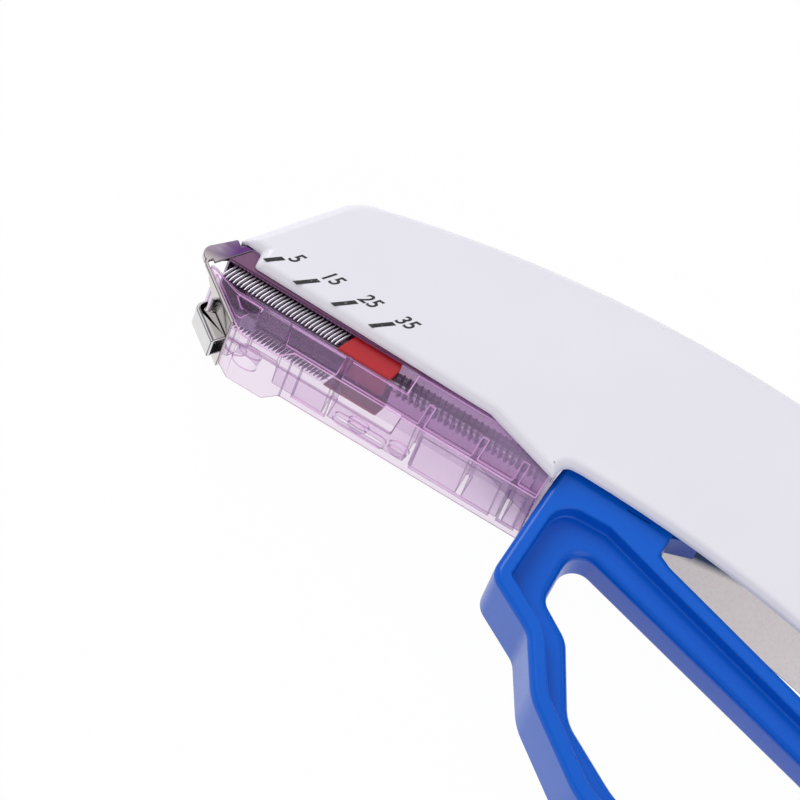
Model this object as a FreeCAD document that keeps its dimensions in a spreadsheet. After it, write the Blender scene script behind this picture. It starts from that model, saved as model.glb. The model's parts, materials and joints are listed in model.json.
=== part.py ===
import FreeCAD, Part
import math
import os

from FreeCAD import Vector

# Hand-held skin stapler with a closed finger loop.
# The stapler lies on its side: X runs from the nose to the grip, Y is up when it is held,
# Z is across it. The origin is on the flat side that it rests on, under the trigger's axle.
# The nose parts are drawn from the nose's tip, in the middle plane.

doc = FreeCAD.newDocument("skin_stapler")

# Driving dimensions, in millimetres and degrees
SIZES = [
    ("staple_width", 12.6, "open staple across"),
    ("staple_wire", 0.56, "staple wire"),
    ("cartridge_wall", 0.75, "side walls of the cartridge"),
    ("side_wall", 1.4, "flat side wall of a shell"),
    ("cartridge_width", "=staple_width + 2 * (cartridge_wall + 0.15)", "cartridge across"),
    ("body_thickness", "=cartridge_width + 2 * (side_wall + 0.2)", "across both shells"),
    ("trigger_width", "=body_thickness - 2 * (side_wall + 1.1)", "trigger across"),
    ("rail_width", "=staple_width - 2 * (staple_wire + 0.19)", "rail between the staple legs"),
    ("blade_width", "=staple_width - 0.4", "driver blade across"),
    ("rim_wall", 1.6, "wall round a shell's outline"),
    ("edge_slope", 0.95, "slope along the outer edge of a shell"),
    ("top_radius", 195.0, "long curve along the back of the body"),
    ("top_apex_x", 6.5, "highest point of the body"),
    ("top_apex_y", 18.8, "highest point of the body"),
    ("grip_radius", 100.0, "tighter curve over the grip"),
    ("grip_start_x", 31.0, "where the tighter curve starts"),
    ("grip_end_x", 88.0, "end of the grip's top"),
    ("belly_radius", 199.0, "long curve of the lower edge"),
    ("belly_apex_x", -4.5, "front end of the lower edge"),
    ("belly_apex_y", -7.7, "front end of the lower edge"),
    ("heel_radius", 80.0, "tighter curve under the grip"),
    ("heel_start_x", 48.0, "where that curve starts"),
    ("heel_end_x", 76.1, "end of the grip's underside"),
    ("channel_end_x", 70.0, "end of the open channel under the body"),
    ("front_slope", 54.2, "front edge of the body"),
    ("front_round", 8.0, "corner between front edge and back"),
    ("nose_x", -64.0, "tip of the nose"),
    ("nose_y", -9.0, "tip of the nose"),
    ("nose_lean", 52.5, "front plate and driver, from the staple row"),
    ("pin_radius", 1.5, "trigger axle"),
    ("pin_skin", 0.65, "shell left outside the axle's ends"),
    ("running_gap", 0.05, "radial clearance of pins that turn"),
    ("seat_gap", 0.05, "clearance between parts that rest on each other"),
    ("boss_radius", 4.5, "shell boss round the axle"),
    ("trigger_rim", 2.4, "raised rim round the trigger's web"),
    ("web_depth", 2.6, "step from the rim down to the web"),
    ("loop_slope", 0.7, "slope along the edges of the trigger's loop"),
    ("hub_radius", 5.5, "trigger hub"),
    ("fork_gap", 6.4, "slot for the drive arm"),
    ("arm_width", 6.0, "drive arm across"),
    ("arm_boss_radius", 4.6, "drive arm round the axle"),
    ("arm_eye_radius", 1.85, "eye at the arm's tip"),
    ("drive_pin_x", -47.7, "drive pin, from the axle"),
    ("drive_pin_y", 6.6, "drive pin, from the axle"),
    ("drive_pin_radius", 1.0, "drive pin"),
    ("trigger_swing", 9.3, "travel of the trigger"),
    ("cheek_thickness", 1.0, "driver carrier's cheeks"),
    ("slot_gap", 0.15, "clearance of the drive pin in its slot"),
    ("blade_thickness", 0.5, "driver blade"),
    ("blade_low", 10.5, "lower edge of the raised blade, from the tip"),
    ("blade_high", 20.6, "upper edge of the raised blade, from the tip"),
    ("sheet", 0.5, "steel sheet of the nose bracket"),
    ("plate_length", 19.0, "front leg of the nose bracket"),
    ("foot_length", 10.2, "lower leg of the nose bracket"),
    ("plate_rim", 0.55, "folded rims of the front leg, behind the sheet"),
    ("rim_width", 0.5, "those rims across"),
    ("strut_width", 0.7, "strut between front leg and foot"),
    ("anvil_width", 5.4, "anvil across"),
    ("anvil_depth", 2.2, "anvil below the foot"),
    ("anvil_front", 4.15, "front of the anvil, behind the front plate"),
    ("anvil_sheet", 0.55, "anvil sheet"),
    ("cartridge_end", 56.0, "rear end of the cartridge, from the tip"),
    ("cartridge_floor", -5.2, "underside of the cartridge"),
    ("floor_thickness", 0.8, "floor of the trough"),
    ("window_sill", -1.35, "lower edge of the staple window"),
    ("wall_top", 2.0, "top of the rear side walls"),
    ("window_end", 33.5, "rear end of the staple window"),
    ("cover_top", 4.95, "top of the cartridge cover"),
    ("cover_thickness", 0.8, "cartridge cover"),
    ("staple_count", 31, "staples in the row"),
    ("staple_pitch", 0.605, "distance between staples"),
    ("staple_leg", 4.8, "staple leg"),
    ("staple_lean", 68.0, "staple legs, from the row"),
    ("first_staple_x", 5.06, "crown of the front staple, from the tip"),
    ("crown_y", 3.74, "middle of the crowns, from the tip"),
    ("rail_groove", 5.8, "groove for pusher and spring"),
    ("rail_bottom", -0.9, "underside of the rail"),
    ("pusher_length", 8.4, "pusher along the row"),
    ("rod_radius", 0.8, "spring guide rod"),
    ("rod_y", 2.3, "spring guide rod, from the tip"),
    ("coil_radius", 1.5, "pusher spring, to the wire's middle"),
    ("coil_wire", 0.36, "pusher spring wire"),
    ("coil_turns", 11, "pusher spring turns"),
    ("rear_round", 8.0, "upper corner of the grip's end"),
    ("rear_foot_round", 5.0, "lower corner of the grip's end"),
    ("return_x", 11.6, "return spring, from the axle"),
    ("return_foot_y", -4.3, "lower end of the return spring"),
    ("return_top_y", 12.7, "upper end of the return spring"),
    ("return_radius", 2.1, "return spring, to the wire's middle"),
    ("return_wire", 0.55, "return spring wire"),
    ("return_turns", 7, "return spring turns"),
]

sheet = doc.addObject("Spreadsheet::Sheet", "sizes")
sheet.Label = "sizes"
for row, (alias, value, note) in enumerate(SIZES, start=1):
    sheet.set("A%d" % row, alias)
    sheet.set("B%d" % row, str(value))
    sheet.set("C%d" % row, note)
    sheet.setAlias("B%d" % row, alias)
doc.recompute()


def size(alias):
    return float(sheet.get(alias))


def ref(formula):
    """An expression on the sheet: every word in it that is a size gets the sheet's name."""
    words = formula.split(" ")
    known = [alias for alias, value, note in SIZES]
    return " ".join("<<sizes>>." + word if word in known else word for word in words)


# Drawing helpers

def outline(*stations):
    """Closed outline. A station is (x, y) or (x, y, corner radius).

    A station ("by", x, y) bows the side between its neighbours into an arc through that point.
    """
    corners = [s for s in stations if s[0] != "by"]
    bows = {}
    count = -1
    for station in stations:
        if station[0] == "by":
            bows[count] = Vector(station[1], station[2])
        else:
            count += 1
    spots = [Vector(c[0], c[1]) for c in corners]
    radii = [c[2] if len(c) > 2 else 0.0 for c in corners]
    starts, ends, rounds = list(spots), list(spots), []
    for i, spot in enumerate(spots):
        if radii[i] == 0.0:
            continue
        back = (spots[i - 1] - spot).normalize()
        ahead = (spots[(i + 1) % len(spots)] - spot).normalize()
        half = back.getAngle(ahead) / 2
        reach = radii[i] / math.tan(half)
        middle = spot + (back + ahead).normalize() * (radii[i] / math.sin(half) - radii[i])
        ends[i] = spot + back * reach
        starts[i] = spot + ahead * reach
        rounds.append(Part.Arc(ends[i], middle, starts[i]))
    sides = []
    for i in range(len(spots)):
        after = (i + 1) % len(spots)
        if (ends[after] - starts[i]).Length < 1e-6:
            continue
        if i in bows:
            sides.append(Part.Arc(starts[i], bows[i], ends[after]))
        else:
            sides.append(Part.LineSegment(starts[i], ends[after]))
    return sides + rounds


def box(x0, y0, x1, y1):
    return outline((x0, y0), (x1, y0), (x1, y1), (x0, y1))


def ring(x, y, radius):
    return [Part.Circle(Vector(x, y), Vector(0, 0, 1), radius)]


def hexagon(x, y, radius):
    turns = [math.radians(60 * k) for k in range(6)]
    return outline(*[(x + radius * math.cos(t), y + radius * math.sin(t)) for t in turns])


def wire_of(drawn):
    return Part.Wire(Part.sortEdges([line.toShape() for line in drawn])[0])


def drawn_from(wire):
    """Sketch lines and arcs from a wire's edges."""
    drawn = []
    for edge in wire.Edges:
        first, last = edge.FirstParameter, edge.LastParameter
        start, middle, end = (edge.valueAt(first + (last - first) * k) for k in (0, 0.5, 1))
        if edge.Curve.TypeId == "Part::GeomLine":
            drawn.append(Part.LineSegment(start, end))
        else:
            drawn.append(Part.Arc(start, middle, end))
    return drawn


def inset(drawn, distance):
    return drawn_from(wire_of(drawn).makeOffset2D(-distance))


# The nose's own directions: up along the front plate, and inward from it
lean = math.radians(size("nose_lean"))


def nose(up, inward):
    """A point in the nose's drawing, from distances along and behind the front plate."""
    return (up * math.cos(lean) + inward * math.sin(lean),
            up * math.sin(lean) - inward * math.cos(lean))


# Feature helpers

def new_body(label):
    body = doc.addObject("PartDesign::Body", label)
    body.Label = label
    return body


def sketch(body, name, drawn, height=None, role="XY_Plane"):
    made = body.newObject("Sketcher::SketchObject", name)
    plane = [face for face in body.Origin.OriginFeatures if face.Role == role][0]
    made.AttachmentSupport = [(plane, "")]
    made.MapMode = "FlatFace"
    made.addGeometry(drawn, False)
    if height:
        made.setExpression("AttachmentOffset.Base.z", ref(height))
    return made


def extrude(kind, body, name, drawn, length, height=None, both=False, down=False, role="XY_Plane"):
    profile = sketch(body, name + "_sketch", drawn, height, role)
    made = body.newObject(kind, name)
    made.Profile = profile
    made.SideType = "Symmetric" if both else "One side"
    made.Reversed = down
    made.setExpression("Length", ref(length))
    body.Tip = made
    doc.recompute()
    return made


def pad(*args, **options):
    return extrude("PartDesign::Pad", *args, **options)


def pocket(*args, **options):
    body = args[0]
    before = body.Tip.Shape.Volume
    made = extrude("PartDesign::Pocket", *args, **options)
    if made.Shape.Volume >= before:
        raise RuntimeError(args[1] + " cuts nothing")
    return made


def edges_where(shape, test):
    """Names of the edges whose both ends and middle pass the test."""
    names = []
    for number, edge in enumerate(shape.Edges, start=1):
        spots = [vertex.Point for vertex in edge.Vertexes]
        spots.append(edge.valueAt((edge.FirstParameter + edge.LastParameter) / 2))
        if all(test(spot) for spot in spots):
            names.append("Edge%d" % number)
    return names


def dress(kind, body, name, distance, test):
    base = body.Tip
    names = edges_where(base.Shape, test)
    made = body.newObject("PartDesign::" + kind, name)
    made.Base = (base, names)
    made.setExpression("Radius" if kind == "Fillet" else "Size", ref(distance))
    body.Tip = made
    doc.recompute()
    return made


def fillet(*args):
    return dress("Fillet", *args)


def chamfer(*args):
    return dress("Chamfer", *args)


def place(body, x="0", y="0", z="body_thickness / 2"):
    body.setExpression("Placement.Base.x", ref(x))
    body.setExpression("Placement.Base.y", ref(y))
    body.setExpression("Placement.Base.z", ref(z))


def place_at_nose(body):
    place(body, "nose_x", "nose_y")


def place_on_foot(body):
    """For pieces drawn with x inward along the nose's foot and y up its front plate."""
    turned = FreeCAD.Rotation(Vector(0, 0, 1), size("nose_lean") - 90)
    spot = Vector(size("nose_x"), size("nose_y"), size("body_thickness") / 2)
    body.Placement = FreeCAD.Placement(spot, turned)


# Curves of the body's side view

def on_arc(centre, radius, slope):
    """The point of a round back where it slopes down by so many degrees."""
    turn = math.radians(slope)
    return (centre[0] + radius * math.sin(turn), centre[1] + radius * math.cos(turn))


def slope_at(centre, radius, x):
    return math.degrees(math.asin((x - centre[0]) / radius))


def tighter(centre, radius, slope, next_radius):
    """Centre of a smaller arc that goes on from a larger one without a kink."""
    spot = on_arc(centre, radius, slope)
    turn = math.radians(slope)
    return (spot[0] - next_radius * math.sin(turn), spot[1] - next_radius * math.cos(turn))


top_centre = (size("top_apex_x"), size("top_apex_y") - size("top_radius"))
grip_start = slope_at(top_centre, size("top_radius"), size("grip_start_x"))
grip_centre = tighter(top_centre, size("top_radius"), grip_start, size("grip_radius"))
belly_centre = (size("belly_apex_x"), size("belly_apex_y") - size("belly_radius"))
heel_start = slope_at(belly_centre, size("belly_radius"), size("heel_start_x"))
heel_centre = tighter(belly_centre, size("belly_radius"), heel_start, size("heel_radius"))
grip_slope = slope_at(grip_centre, size("grip_radius"), size("grip_end_x"))
heel_slope = slope_at(heel_centre, size("heel_radius"), size("heel_end_x"))


def top_y(x, depth=0.0):
    """Height of the body's back, or of a line that deep below it."""
    if x < size("grip_start_x"):
        centre, radius = top_centre, size("top_radius") - depth
    else:
        centre, radius = grip_centre, size("grip_radius") - depth
    return centre[1] + math.sqrt(radius ** 2 - (x - centre[0]) ** 2)


def belly_y(x):
    """Height of the lower edge, ahead of the grip's end."""
    if x < size("heel_start_x"):
        centre, radius = belly_centre, size("belly_radius")
    else:
        centre, radius = heel_centre, size("heel_radius")
    return centre[1] + math.sqrt(radius ** 2 - (x - centre[0]) ** 2)


def body_outline():
    """Side view of the white body: back, grip, lower edge, notch for the trigger, window edge."""
    nose_x, nose_y = size("nose_x"), size("nose_y")
    lip = (nose_x + 3.2, nose_y + 5.2)
    along = Vector(math.cos(math.radians(size("front_slope"))),
                   math.sin(math.radians(size("front_slope"))))
    inward = Vector(along.y, -along.x)
    # The front corner's circle touches the front line and the long curve of the back
    start = Vector(*lip) + inward * size("front_round") - Vector(*top_centre)
    inner = size("top_radius") - size("front_round")
    half_b = start.dot(along)
    reach = -half_b + math.sqrt(half_b ** 2 - start.dot(start) + inner ** 2)
    if reach > size("top_radius"):
        reach = -half_b - math.sqrt(half_b ** 2 - start.dot(start) + inner ** 2)
    hub = Vector(*lip) + inward * size("front_round") + along * reach
    leave = hub - inward * size("front_round")
    outward = (hub - Vector(*top_centre)).normalize()
    join = Vector(*top_centre) + outward * size("top_radius")
    between = hub + (outward - inward).normalize() * size("front_round")
    join_slope = math.degrees(math.asin(outward.x))
    back_end = on_arc(top_centre, size("top_radius"), grip_start)
    grip_end = on_arc(grip_centre, size("grip_radius"), grip_slope)
    heel_end = on_arc(heel_centre, size("heel_radius"), heel_slope)
    heel_join = on_arc(belly_centre, size("belly_radius"), heel_start)
    grip_line = math.radians(grip_slope)
    heel_line = math.radians(heel_slope)
    rear, foot = size("rear_round"), size("rear_foot_round")
    return outline(
        lip,
        (leave.x, leave.y),
        ("by", between.x, between.y),
        (join.x, join.y),
        ("by",) + on_arc(top_centre, size("top_radius"), (join_slope + grip_start) / 2),
        back_end,
        ("by",) + on_arc(grip_centre, size("grip_radius"), (grip_start + grip_slope) / 2),
        grip_end,
        (grip_end[0] + 1.2 * rear * math.cos(grip_line),
         grip_end[1] - 1.2 * rear * math.sin(grip_line), rear),
        (heel_end[0] + 1.1 * foot * math.cos(heel_line),
         heel_end[1] - 1.1 * foot * math.sin(heel_line), foot),
        heel_end,
        ("by",) + on_arc(heel_centre, size("heel_radius"), (heel_start + heel_slope) / 2),
        heel_join,
        ("by",) + on_arc(belly_centre, size("belly_radius"), heel_start / 2),
        (size("belly_apex_x"), size("belly_apex_y")),
        (-7.0, -7.9, 1.6),
        (-7.5, -10.5),
        (nose_x + 44.7, nose_y + 2.1),
        (nose_x + 6.6, nose_y + 2.7),
        (nose_x + 6.4, nose_y + 5.0),
    )


# White body shells

POSTS = [(-30.0, 11.4), (30.0, 9.5), (60.0, 1.0), (80.0, -14.0)]
POST_RADIUS = 2.2
PEG_RADIUS = 1.2
GRIP_RIBS = [72.0, 75.5]


def body_shell(label, side):
    """One half of the body. side is +1 for the numbered half and -1 for the other."""
    down = side < 0
    body = new_body(label)
    pad(body, label + "_block", body_outline(), "body_thickness / 2", down=down)
    outer = side * size("body_thickness") / 2
    chamfer(body, label + "_edge", "edge_slope", lambda spot: abs(spot.z - outer) < 1e-4)
    depth = "body_thickness / 2 - side_wall"
    pocket(body, label + "_cavity", inset(body_outline(), size("rim_wall")), depth, down=not down)
    tip_x, tip_y = size("nose_x"), size("nose_y")

    def from_tip(up, inward):
        across, rise = nose(up, inward)
        return (tip_x + across, tip_y + rise)

    front = -size("seat_gap")
    top = size("blade_high") + 0.5
    pocket(body, label + "_driver_way",
           outline(from_tip(-12, front), from_tip(top, front), from_tip(top, 6), from_tip(-12, 6)),
           depth, down=not down)
    channel_end = size("channel_end_x")
    pocket(body, label + "_channel",
           outline(from_tip(-12, 3), from_tip(8, 3), (-20, -4), (0, -4),
                   (channel_end - 12, belly_y(channel_end) + 13),
                   (channel_end, belly_y(channel_end) + 11), (channel_end, -60), (tip_x, -60)),
           depth, down=not down)
    inner = "0 - body_thickness / 2 + side_wall" if down else "body_thickness / 2 - side_wall"
    # Boss with a blind bore for the axle's end
    boss = "body_thickness / 2 - side_wall - trigger_width / 2 - 0.15"
    pad(body, label + "_axle_boss", ring(0, 0, size("boss_radius")), boss, height=inner,
        down=not down)
    bore = size("pin_radius") + 0.02
    pocket(body, label + "_axle_bore", ring(0, 0, bore), "body_thickness / 2 - pin_skin",
           down=not down)
    # Posts where the halves meet: six-sided pins that press into round sockets
    for number, (x, y) in enumerate(POSTS, start=1):
        post = label + "_post_%d" % number
        pad(body, post, ring(x, y, POST_RADIUS), depth, down=down)
        if down:
            pad(body, post + "_peg", hexagon(x, y, PEG_RADIUS), "3")
        else:
            pocket(body, post + "_socket", ring(x, y, PEG_RADIUS + 0.1), "3.3", down=True)
    # Cross ribs in the closed grip
    for number, x in enumerate(GRIP_RIBS, start=1):
        low, high = belly_y(x) + 1.0, top_y(x, 1.0)
        pad(body, label + "_rib_%d" % number, box(x - 0.6, low, x + 0.6, high), depth, down=down)
    # Seat of the return spring under the back
    seat_x, seat_y = size("return_x"), size("return_top_y")
    seat_half = size("return_radius") + size("return_wire")
    pad(body, label + "_spring_seat", box(seat_x - seat_half, seat_y, seat_x + seat_half,
                                          top_y(seat_x, 0.8)), depth, down=down)
    # Ledge that holds the cartridge down
    ledge_y = size("nose_y") + size("cover_top") + size("seat_gap")
    pad(body, label + "_ledge", box(tip_x + 26, ledge_y, tip_x + 56, ledge_y + 1.2), "2.6",
        height=inner, down=not down)
    place(body)
    return body


body_shell("body_shell_right", 1)
body_shell("body_shell_left", -1)


# Trigger with its finger loop

def loop_outline():
    """Outer edge of the trigger's loop, from the front top corner down and round."""
    return outline(
        (-7.3, -9.6),
        (-7.8, -26.6, 3.0),
        (0.6, -31.3, 3.5),
        (5.6, -39.2, 10.0),
        (18.0, -48.6, 14.0),
        (38.0, -54.0, 20.0),
        (60.0, -48.5, 14.0),
        (65.5, -34.0, 6.0),
        (61.5, -25.2, 3.0),
        (12.5, -11.9, 3.0),
        (10.4, -10.9),
        (10.4, -7.6),
        (7.0, -7.5),
        (7.0, -8.2),
        (3.4, -8.2),
        (3.4, -7.4),
        (-7.0, -7.4),
    )


def finger_hole():
    """The opening for the fingers: straight above, waved in front, round behind."""
    return outline(
        (-0.2, -15.1, 2.8),
        (0.2, -24.6, 2.5),
        (5.6, -28.0, 5.0),
        (11.6, -38.2, 7.0),
        (22.5, -44.4, 14.0),
        (40.0, -48.0, 16.0),
        (55.5, -42.0, 8.0),
        (58.0, -30.3, 4.0),
    )


def web_outline():
    """The sunk web on each side, inside the raised rim."""
    edge = inset(outline(
        (-7.3, -9.6, 6.0),
        (-7.8, -26.6, 3.0),
        (0.6, -31.3, 3.5),
        (5.6, -39.2, 10.0),
        (18.0, -48.6, 14.0),
        (38.0, -54.0, 20.0),
        (60.0, -48.5, 14.0),
        (65.5, -34.0, 6.0),
        (61.5, -25.2, 3.0),
        (12.5, -11.9, 3.0),
        (3.0, -9.2, 5.0),
    ), size("trigger_rim"))
    return edge


trigger = new_body("trigger")
pad(trigger, "loop", loop_outline(), "trigger_width", both=True)
pad(trigger, "hub", ring(0, 0, size("hub_radius")), "trigger_width", both=True)
pad(trigger, "neck", outline((-6.4, -8.0), (10.0, -8.0), (5.2, -1.5), (-5.2, -1.5)),
    "trigger_width", both=True)
half = size("trigger_width") / 2
pocket(trigger, "finger_hole", finger_hole(), "trigger_width * 2", both=True)
chamfer(trigger, "loop_edge", "loop_slope",
        lambda p: abs(abs(p.z) - half) < 1e-4 and p.y < -12.3)
pocket(trigger, "web_right", web_outline(), "web_depth", height="trigger_width / 2")
pocket(trigger, "web_left", web_outline(), "web_depth", height="0 - trigger_width / 2", down=True)
lug_half = size("return_radius") + size("return_wire") / 2 + 0.15
lug_end, lug_top = size("return_x") + lug_half, size("return_foot_y")
pad(trigger, "spring_lug", outline((7.0, lug_top - 3.1), (8.6, lug_top - 2.9),
                                   (lug_end, lug_top - 0.9), (lug_end, lug_top), (7.0, lug_top)),
    "return_radius * 2 + return_wire + 0.3", both=True)
pocket(trigger, "fork", outline((-8, 8), (-8, -4.0), (-3, -7.0), (7.5, -7.0), (7.5, 8)),
       "fork_gap", both=True)
pocket(trigger, "axle_bore", ring(0, 0, size("pin_radius") + size("running_gap")),
       "trigger_width * 2", both=True)
stud = size("return_radius") - size("return_wire") / 2 - 0.35
pad(trigger, "spring_stud", hexagon(size("return_x"), 0, stud), "2",
    height="return_foot_y * -1", role="XZ_Plane", down=True)
place(trigger)

# Axle of the trigger
axle = new_body("trigger_pin")
pad(axle, "axle", ring(0, 0, size("pin_radius")), "body_thickness - pin_skin * 2 - 0.1", both=True)
place(axle)


# Drive arm, in the trigger's fork

def arm_outline():
    eye_x, eye_y = size("drive_pin_x"), size("drive_pin_y")
    eye, boss = size("arm_eye_radius"), size("arm_boss_radius")
    return outline(
        (eye_x, eye_y + eye),
        (-22.0, 8.6),
        (0.0, boss),
        ("by", boss, 0.0),
        (3.0, -3.5),
        (6.4, -6.6),
        (-2.6, -6.6),
        (-4.4, -3.4),
        (-10.0, -1.7),
        (-24.0, 0.2),
        (eye_x + 2.5, eye_y - eye),
        (eye_x, eye_y - eye),
        ("by", eye_x - eye, eye_y),
    )


arm = new_body("drive_arm")
pad(arm, "arm_plate", arm_outline(), "arm_width", both=True)
web = outline((-40.0, 6.6), (-22.0, 6.6), (-8.0, 3.9), (-9.0, 0.2), (-22.0, 2.0), (-40.0, 4.4))
pocket(arm, "arm_relief_right", web, "1.9", height="arm_width / 2")
pocket(arm, "arm_relief_left", web, "1.9", height="0 - arm_width / 2", down=True)
pocket(arm, "arm_axle_bore", ring(0, 0, size("pin_radius") + size("running_gap")),
       "arm_width * 2", both=True)
pocket(arm, "arm_eye_bore", ring(size("drive_pin_x"), size("drive_pin_y"),
                                 size("drive_pin_radius") + 0.02), "arm_width * 2", both=True)
place(arm)

drive_pin = new_body("drive_pin")
pad(drive_pin, "cross_pin", ring(size("drive_pin_x"), size("drive_pin_y"),
                                 size("drive_pin_radius")),
    "arm_width + cheek_thickness * 2 + 0.6", both=True)
place(drive_pin)

# Driver: blade behind the front plate, carrier with level slots for the drive pin
swing = math.radians(size("trigger_swing"))
pin_drop = (size("drive_pin_x") * math.sin(swing) + size("drive_pin_y") * (math.cos(swing) - 1))
stroke = -pin_drop / math.sin(lean)
pin_back = (size("drive_pin_x") * (math.cos(swing) - 1) - size("drive_pin_y") * math.sin(swing)
            + stroke * math.cos(lean))
pin_x = size("drive_pin_x") - size("nose_x")
pin_y = size("drive_pin_y") - size("nose_y")
blade_front = size("sheet") + size("seat_gap")
blade_back = blade_front + size("blade_thickness")

blade = new_body("driver_blade")
pad(blade, "blade", outline(nose(size("blade_low"), blade_front),
                            nose(size("blade_high"), blade_front),
                            nose(size("blade_high"), blade_back),
                            nose(size("blade_low"), blade_back)), "blade_width", both=True)
pocket(blade, "blade_notch", outline(nose(size("blade_low") - 1, 0),
                                     nose(size("blade_low") + 0.8, 0),
                                     nose(size("blade_low") + 0.8, 4),
                                     nose(size("blade_low") - 1, 4)), "5.4", both=True)
place_at_nose(blade)


def behind_blade(y):
    """Where the blade's back face is at this height."""
    return (blade_back + y * math.cos(lean)) / math.sin(lean)


carrier = new_body("driver_carrier")
slot = size("drive_pin_radius") + size("slot_gap")
low, high = pin_y - slot - 1.15, pin_y + slot + 0.95
tail = pin_x + pin_back + slot + 1.2
pad(carrier, "cheeks", outline((behind_blade(low), low), (tail, low), (tail, high, 1.0),
                               (behind_blade(high), high)),
    "arm_width + 0.4 + cheek_thickness * 2", both=True)
pocket(carrier, "arm_space", box(behind_blade(low) - 3, low - 1, tail + 1, high + 1),
       "arm_width + 0.4", both=True)
pad(carrier, "bridge", outline(nose(size("blade_high") - 2.6, blade_back),
                               nose(size("blade_high") - 0.4, blade_back),
                               nose(size("blade_high") - 0.4, blade_back + 0.5),
                               nose(size("blade_high") - 2.6, blade_back + 0.5)),
    "arm_width + 0.4 + cheek_thickness * 2", both=True)
pocket(carrier, "slots", outline((pin_x - slot, pin_y - slot, slot * 0.99),
                                 (pin_x + pin_back + slot, pin_y - slot, slot * 0.99),
                                 (pin_x + pin_back + slot, pin_y + slot, slot * 0.99),
                                 (pin_x - slot, pin_y + slot, slot * 0.99)), "20", both=True)
place_at_nose(carrier)

# Steel bracket folded round the nose: front leg with folded rims, foot at a right angle to it
sheet_t, leg_top, foot_end = size("sheet"), size("plate_length"), size("foot_length")
bracket = new_body("nose_bracket")
pad(bracket, "fold", outline((0, leg_top), (0, 0, 1.1), (foot_end, 0), (foot_end, sheet_t),
                             (sheet_t, sheet_t, 0.4), (sheet_t, leg_top)),
    "cartridge_width", both=True)
for name, height, down in (("rim_right", "cartridge_width / 2", True),
                           ("rim_left", "0 - cartridge_width / 2", False)):
    pad(bracket, name, box(sheet_t / 2, 1.3, sheet_t + size("plate_rim"), leg_top), "rim_width",
        height=height, down=down)
bracket_half = size("cartridge_width") / 2
fillet(bracket, "leg_corners", "2", lambda p: abs(p.y - leg_top) < 1e-4
       and abs(abs(p.z) - bracket_half) < 1e-4)
# The way out for the staples: a strut is left on the numbered side, the other side is open
pocket(bracket, "front_notch", box(-1, -1, 2.4, 4.2), "cartridge_width - strut_width + 1",
       height="cartridge_width / 2 - strut_width", down=False)
wide, narrow = bracket_half - size("strut_width"), size("anvil_width") / 2 + 1.3
notch_end = size("anvil_front") + 0.35
pocket(bracket, "foot_notch", outline((1.2, wide), (1.7, wide), (notch_end, narrow),
                                      (notch_end, -narrow), (1.7, -bracket_half - 1),
                                      (1.2, -bracket_half - 1)),
       "4", height="2", role="XZ_Plane")
# Hem folded outward on the numbered side of the front leg
pad(bracket, "hem", outline((0.2, 0.3), (-1.7, 0.3, 1.3), (-1.15, 5.75, 0.3), (0.2, 5.75)),
    "strut_width * 2", height="cartridge_width / 2", down=True)
place_on_foot(bracket)

# Anvil: strip under the foot that curls up in front, with a folded flange on each side
anvil = new_body("anvil")
low, sheet_a = -size("anvil_depth"), size("anvil_sheet")
front = size("anvil_front")
pad(anvil, "strip", outline((foot_end, low), (front, low, 1.0), (front, low + 1.85),
                            (front + sheet_a, low + 1.85), (front + sheet_a, low + sheet_a, 0.45),
                            (foot_end, low + sheet_a)), "anvil_width", both=True)
for name, height, down in (("flange_right", "anvil_width / 2", True),
                           ("flange_left", "0 - anvil_width / 2", False)):
    pad(anvil, name, outline((front + 1.6, low), (foot_end, low), (foot_end, -0.02),
                             (front + 2.3, -0.02), (front + 1.6, -0.9)), "anvil_sheet",
        height=height, down=down)
anvil_half = size("anvil_width") / 2
chamfer(anvil, "anvil_edges", "0.35", lambda p: abs(abs(p.z) - anvil_half) < 1e-4
       and abs(p.y - low) < 1e-4)
place_on_foot(anvil)


# Clear cartridge: trough with the deeper nose block

def housing_outline():
    floor, end = size("cartridge_floor"), size("cartridge_end")
    inside = size("sheet") + size("seat_gap")
    return outline(
        nose(inside, inside) + (0.3,),
        nose(inside, size("foot_length") + 0.1),
        (10.2, floor - 1.7, 0.8),
        (15.8, floor - 1.7, 0.8),
        (17.7, floor),
        (end, floor),
        (end, size("wall_top")),
        (size("window_end"), size("wall_top")),
        (size("window_end"), size("window_sill")),
        (6.4, size("window_sill")),
        (2.4, -0.05),
    )


floor_y = size("cartridge_floor") + size("floor_thickness")
housing = new_body("cartridge_housing")
pad(housing, "trough", housing_outline(), "cartridge_width", both=True)
pocket(housing, "inside", outline(nose(-1, -1), nose(-1, 2.3), nose(1.15, 2.6), nose(1.15, 9.0),
                                  (9.4, floor_y),
                                  (size("cartridge_end") + 1, floor_y),
                                  (size("cartridge_end") + 1, 4), (2.4, 4)),
       "cartridge_width - cartridge_wall * 2", both=True)
RIB_PLACES = [(24.0, 0.8), (37.0, 0.8), (45.5, 0.8), (52.0, 0.8)]
for number, (x, thick) in enumerate(RIB_PLACES, start=1):
    pad(housing, "cross_wall_%d" % number,
        box(x, floor_y - 0.2, x + thick, size("rail_bottom") - size("seat_gap")),
        "cartridge_width - cartridge_wall", both=True)
pad(housing, "nose_step", outline((8.6, floor_y - 0.4), (16.0, floor_y - 0.4),
                                  (15.0, size("rail_bottom") - size("seat_gap")),
                                  (10.6, size("rail_bottom") - size("seat_gap"))),
    "cartridge_width - cartridge_wall", both=True)
pocket(housing, "nose_recess", ring(11.8, 0, 1.85), "2.0", height="0 - cartridge_floor + 1.7",
       role="XZ_Plane")
pocket(housing, "side_window", outline((6.9, -1.9), (10.6, -1.9), (10.6, -2.7, 0.6), (9.3, -3.3),
                                       (8.0, -3.0)), "cartridge_width * 2", both=True)
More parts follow.
